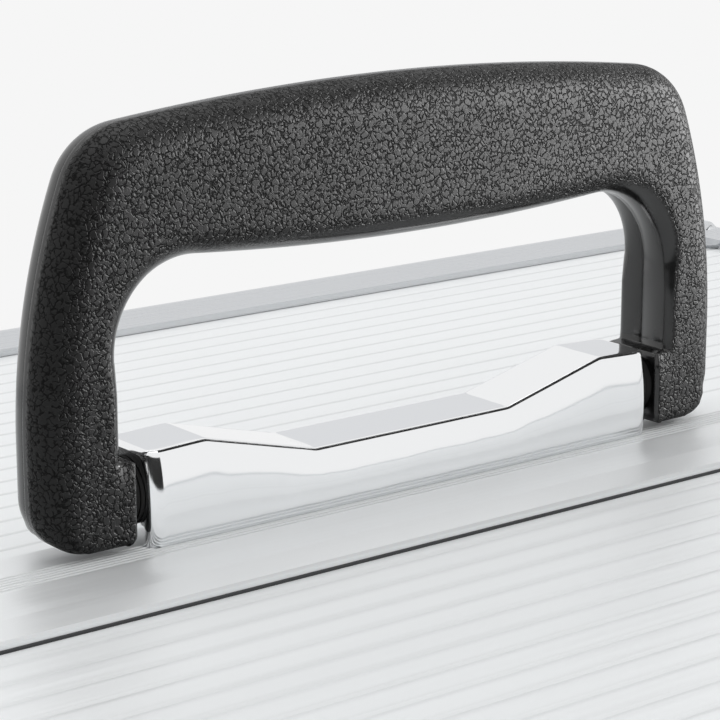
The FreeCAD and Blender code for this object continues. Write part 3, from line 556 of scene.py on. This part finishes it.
# Heights are over the deck. The outside runs from the toe up a side that leans in over side_level, round
# the corner and over the crown. The inside runs from the heel up the shoe and leg and round to the grip.
foot_bottom = 2.5
pivot_height = 9.0
toe_round = 7.2
heel_round = 1.6
shoe_inner = 52.0
shoe_low = 14.7
shoe_top = 15.3
arch_half = 67.1
arch_top = 66.4
crown_radius = 432.0
side_radius = 105.0
side_level = 18.0
corner_radius = 12.0
leg_inner = 54.3
bend_radius = 13.8
grip_level = 41.5
grip_radius = 456.0
shell_depth = 6.5
seam_bevel = 0.14


def half_arch(inset):
    """Outer and inner outline of the arch's right half in x and z over the deck, row by row from the foot to
    the middle: tangent arcs for toe, side, corner and crown outside, and for heel, corner and grip inside.
    The outer corner's centre is where the circles that lie its radius inside crown and side cross."""
    crown = np.array([0.0, arch_top - crown_radius])
    side = np.array([arch_half - side_radius, side_level])
    gap = side - crown
    apart = np.linalg.norm(gap)
    to_crown = crown_radius - corner_radius
    to_side = side_radius - corner_radius
    ahead = (to_crown ** 2 - to_side ** 2 + apart ** 2) / (2 * apart)
    across = math.sqrt(to_crown ** 2 - ahead ** 2)
    corner = crown + gap / apart * ahead + np.array([gap[1], -gap[0]]) / apart * across
    grip = np.array([0.0, grip_level + grip_radius])
    bend_x = leg_inner - bend_radius
    bend = np.array([bend_x, grip[1] - math.sqrt((grip_radius + bend_radius) ** 2 - bend_x ** 2)])

    low = foot_bottom + inset
    turn = np.linspace(0, np.pi / 2, 16)
    z = np.concatenate([low + toe_round * (1 - np.cos(turn)), np.linspace(low + toe_round, shoe_low, 3)[1:],
                        np.linspace(shoe_low, shoe_top, 8)[1:], np.linspace(shoe_top, bend[1], 14)[1:]])
    toe = np.clip(low + toe_round - z, 0, None)
    outer_x = arch_half - inset - toe_round + np.sqrt(toe_round ** 2 - toe ** 2)
    outer_x -= side_radius - np.sqrt(side_radius ** 2 - np.clip(z - side_level, 0, None) ** 2)
    heel = np.clip(low + heel_round - z, 0, None)
    rise = np.clip((z - shoe_low) / (shoe_top - shoe_low), 0, 1)
    inner_x = shoe_inner + inset + heel_round - np.sqrt(heel_round ** 2 - heel ** 2)
    inner_x += (leg_inner - shoe_inner) * rise ** 2 * (3 - 2 * rise)

    lean = arc(side, side_radius - inset, math.asin((bend[1] - side_level) / side_radius),
               direction(side, corner), 30)
    knuckle = arc(corner, corner_radius - inset, direction(side, corner), direction(crown, corner), 30)
    outer = np.concatenate([np.stack([outer_x, z], axis=-1),
                            spread(np.concatenate([lean, knuckle]), 50)[1:],
                            arc(crown, crown_radius - inset, direction(crown, corner), np.pi / 2, 40)[1:]])
    inner = np.concatenate([np.stack([inner_x, z], axis=-1),
                            arc(bend, bend_radius + inset, 0, direction(bend, grip), 50)[1:],
                            arc(grip, grip_radius - inset, direction(grip, bend), -np.pi / 2, 40)[1:]])
    return outer, inner


def handle_shell(inset, sign):
    """One shell of the handle: over the plan of the arch, the surface rises on a quarter circle with the
    distance to the outline. Its radius is 6 outside, 4.5 at the grip and 2 on the legs inside, and smaller
    round the shoes and under the feet. Behind, the feet are round about the pivot so that they can turn."""
    outer, inner = half_arch(inset)
    width = np.linalg.norm(inner - outer, axis=1, keepdims=True)
    outer_band, inner_band = 6.0, 5.0
    squeeze = np.minimum(1, 0.97 * width / (outer_band + inner_band))
    turn = np.linspace(0, np.pi / 2, 13)
    from_outer = outer_band * (1 - np.cos(turn)) * squeeze
    from_inner = inner_band * (1 - np.cos(turn[::-1])) * squeeze
    between = width - from_outer[:, -1:] - from_inner[:, :1]
    middle = from_outer[:, -1:] + between * np.linspace(0, 1, 9)[1:-1]
    share = np.concatenate([from_outer, middle, width - from_inner], axis=1) / width
    plan = outer[:, None, :] + share[:, :, None] * (inner - outer)[:, None, :]

    starts = np.concatenate([outer[:-1], inner[:-1], outer[:1]])
    ends = np.concatenate([outer[1:], inner[1:], inner[:1]])
    outer_round = np.interp(outer[:-1, 1], [foot_bottom, foot_bottom + 3.5], [2.0, 6.0])
    inner_round = np.interp(inner[:-1, 1], [shoe_low, shoe_top, 24.0, 41.0], [0.8, 2.0, 2.0, 4.5])
    rounds = np.concatenate([outer_round, inner_round, [1.5]])
    flat = plan.reshape(-1, 1, 2)
    along = ends - starts
    t = np.clip(((flat - starts) * along).sum(-1) / (along ** 2).sum(-1), 0, 1)
    gaps = np.linalg.norm(flat - starts - t[..., None] * along, axis=-1)
    edge = rounds[gaps.argmin(axis=1)].reshape(share.shape)
    inside = np.minimum(gaps.min(axis=1).reshape(share.shape), edge)
    rise = shell_depth - edge + np.sqrt(edge ** 2 - (edge - inside) ** 2)
    if sign > 0:
        swing = shell_depth - inset
        below = np.clip(pivot_height - plan[:, :, 1], 0, swing)
        rise = np.minimum(rise, np.sqrt(swing ** 2 - below ** 2))

    lip = np.minimum(seam_bevel, rise[:, [0, -1]])
    pull = seam_bevel * (inner - outer) / width
    plan = np.concatenate([(outer + pull)[:, None], outer[:, None], plan, inner[:, None],
                           (inner - pull)[:, None]], axis=1)
    rise = np.concatenate([0 * lip[:, :1], lip[:, :1], rise, lip[:, 1:], 0 * lip[:, 1:]], axis=1)
    right = np.stack([plan[:, :, 0], handle_y + sign * rise, deck_z + plan[:, :, 1]], axis=-1)
    points = np.concatenate([right * [-1, 1, 1], right[-2::-1]]) / 1000
    rows, columns = points.shape[:2]
    faces = grid_faces(rows, columns).tolist()
    faces += [list(range(columns))[::-1], list(range((rows - 1) * columns, rows * columns))]
    return points, [face[::-1] for face in faces] if sign > 0 else faces


acetal_gap_shade = textured_plastic("black_acetal_gap_shade", "#060606", 0.85, grain_mm=0.4, depth_mm=0.02)
dress(acetal_gap_shade, "pivot_washers")
opening_height = 20.0
opening_middle = (0.0, handle_y / 1000, (deck_z + opening_height) / 1000)
nylon = grained_plastic("grained_black_nylon", "#0b0b0b", pebble_mm=0.95, depth_mm=0.11,
                        middle=opening_middle)
front_shell = mesh_piece("moulded_front_shell", *handle_shell(0.0, -1), nylon, "handle", "handle_plastic")
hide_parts("handle_front_shell")
rear_shell = mesh_piece("moulded_rear_shell", *handle_shell(0.25, 1), nylon, "handle", "handle_plastic")
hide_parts("handle_rear_shell")
# The bosses take the darker acetal finish as painted shade for the gap beside the base.
boss_profile = [(5.2, 0.0), (5.2, 2.9), (5.0, 3.1)]
boss_root = 53.9
for side, sign in (("left", -1), ("right", 1)):
    turned_heads("handle_boss_" + side, boss_profile, [(sign * boss_root, handle_y, deck_z + pivot_height)],
                 (-sign, 0, 0), acetal_gap_shade, "handle", "handle_plastic")

# Studio: pale sweep, white surroundings, a large soft lamp overhead and a small one at the right for the
# handle alone. Dark cards in front and overhead and a grey one behind shape the reflections, unseen by
# the camera.


def stage_sheet(name, corners, surface):
    """One flat sheet of the studio, between four corners in metres."""
    mesh = bpy.data.meshes.new(name)
    mesh.from_pydata(corners, [], [(0, 1, 2, 3)])
    mesh.materials.append(surface)
    sheet = bpy.data.objects.new(name, mesh)
    bpy.context.scene.collection.objects.link(sheet)
    return sheet


reach = 8.0
floor_material, tree = new_material("pale_studio_sweep")
place = add(tree, "ShaderNodeTexCoord").outputs["Object"]
distance = add(tree, "ShaderNodeVectorMath", {0: place}, operation="LENGTH")
far = add(tree, "ShaderNodeMapRange", {"Value": distance.outputs["Value"], "From Min": 0.4,
                                       "From Max": 0.95}, interpolation_type="SMOOTHSTEP")
pale = add(tree, "ShaderNodeBsdfPrincipled", {"Base Color": linear("#f4f4f4"), "Roughness": 0.9,
                                              "Specular IOR Level": 0.2})
glow = add(tree, "ShaderNodeEmission", {"Color": linear("#f6f6f6"), "Strength": 1.0})
sweep = add(tree, "ShaderNodeMixShader", {0: far.outputs["Result"], 1: pale.outputs["BSDF"],
                                          2: glow.outputs["Emission"]})
add(tree, "ShaderNodeOutputMaterial", {"Surface": sweep.outputs["Shader"]})
floor = stage_sheet("studio_floor", [(-reach, -reach, 0), (reach, -reach, 0), (reach, reach, 0),
                                     (-reach, reach, 0)], floor_material)

dark_material, tree = new_material("dark_studio_card")
dark = add(tree, "ShaderNodeBsdfPrincipled", {"Base Color": linear("#1e1e1e"), "Roughness": 0.9})
add(tree, "ShaderNodeOutputMaterial", {"Surface": dark.outputs["BSDF"]})
grey_material, tree = new_material("grey_studio_card")
grey = add(tree, "ShaderNodeEmission", {"Color": linear("#dfe0e2"), "Strength": 1.0})
add(tree, "ShaderNodeOutputMaterial", {"Surface": grey.outputs["Emission"]})
cards = [stage_sheet(name, corners, surface) for name, surface, corners in (
    ("front_left_card", dark_material,
     [(-1.6, -1.1, 0.0), (0.35, -1.1, 0.0), (0.35, -1.1, 0.4), (-1.6, -1.1, 0.4)]),
    ("left_card", dark_material,
     [(-1.3, 0.1, 0.0), (-1.3, -1.1, 0.0), (-1.3, -1.1, 0.4), (-1.3, 0.1, 0.4)]),
    ("overhead_card", dark_material,
     [(0.25, -0.6, 1.0), (0.9, -0.6, 0.8), (0.9, 0.1, 0.8), (0.25, 0.1, 1.0)]),
    ("floor_card", dark_material,
     [(-1.6, -1.3, 0.002), (1.1, -1.3, 0.002), (1.1, -0.42, 0.002), (-1.6, -0.42, 0.002)]),
    ("rear_card", grey_material,
     [(0.6, 2.6, 0.5), (2.4, 1.2, 0.5), (2.4, 1.2, 1.15), (0.6, 2.6, 1.15)]))]
for card in cards:
    card.visible_camera = False
    card.visible_shadow = False
    card.visible_diffuse = False

world = bpy.data.worlds.new("white_studio")
bpy.context.scene.world = world
world.use_nodes = True
tree = world.node_tree
tree.nodes.clear()
path = add(tree, "ShaderNodeLightPath")
seen = add(tree, "ShaderNodeMath", {0: path.outputs["Is Camera Ray"], 1: path.outputs["Is Glossy Ray"]},
           operation="MAXIMUM")
seen = add(tree, "ShaderNodeMath", {0: seen.outputs["Value"], 1: path.outputs["Is Transmission Ray"]},
           operation="MAXIMUM")
ambient = add(tree, "ShaderNodeBackground", {"Color": linear("#ffffff"), "Strength": 0.75})
backdrop = add(tree, "ShaderNodeBackground", {"Color": linear("#f6f6f6"), "Strength": 1.0})
either = add(tree, "ShaderNodeMixShader", {0: seen.outputs["Value"], 1: ambient.outputs["Background"],
                                           2: backdrop.outputs["Background"]})
add(tree, "ShaderNodeOutputWorld", {"Surface": either.outputs["Shader"]})


def soft_lamp(name, size, power, place, target):
    """Square soft lamp that faces the target: it tilts from straight down by the angle to the target, then
    turns to the target's side."""
    lamp = bpy.data.lights.new(name, "AREA")
    lamp.size = size
    lamp.energy = power
    made = bpy.data.objects.new(name, lamp)
    made.location = place
    away = np.array(place) - np.array(target)
    level = math.hypot(away[0], away[1])
    made.rotation_euler = (math.atan2(level, away[2]), 0, math.atan2(away[0], -away[1]))
    bpy.context.scene.collection.objects.link(made)
    return made


case_top = (0.0, 0.0, 0.2)
handle_middle = (0.02, 0.0, 0.245)
soft_lamp("overhead_softbox", 1.4, 8.3, (0.1, 0.2, 1.7), case_top)
handle_lamp = soft_lamp("handle_softbox", 0.35, 4.3, (0.36, -0.185, 0.31), handle_middle)
lit = bpy.data.collections.new("lit_by_handle_softbox")
for shell in (front_shell, rear_shell):
    lit.objects.link(shell)
handle_lamp.light_linking.receiver_collection = lit

# Camera: a long lens that looks down on the handle from the front left, as in the photograph.
# Its tilt and turn come from the vanishing points of the ribs and of the handle base.

camera_tilt = 14.17
camera_turn = 38.04
camera_data = bpy.data.cameras.new("camera")
camera_data.sensor_width = 36.0
camera_data.lens = 122.35
camera_data.clip_end = 50.0
camera = bpy.data.objects.new("camera", camera_data)
camera.location = (-0.2337, -0.2784, 0.3140)
camera.rotation_euler = (math.radians(90 - camera_tilt), 0, math.radians(-camera_turn))
bpy.context.scene.collection.objects.link(camera)
bpy.context.scene.camera = camera
bpy.context.scene.view_settings.view_transform = "Standard"
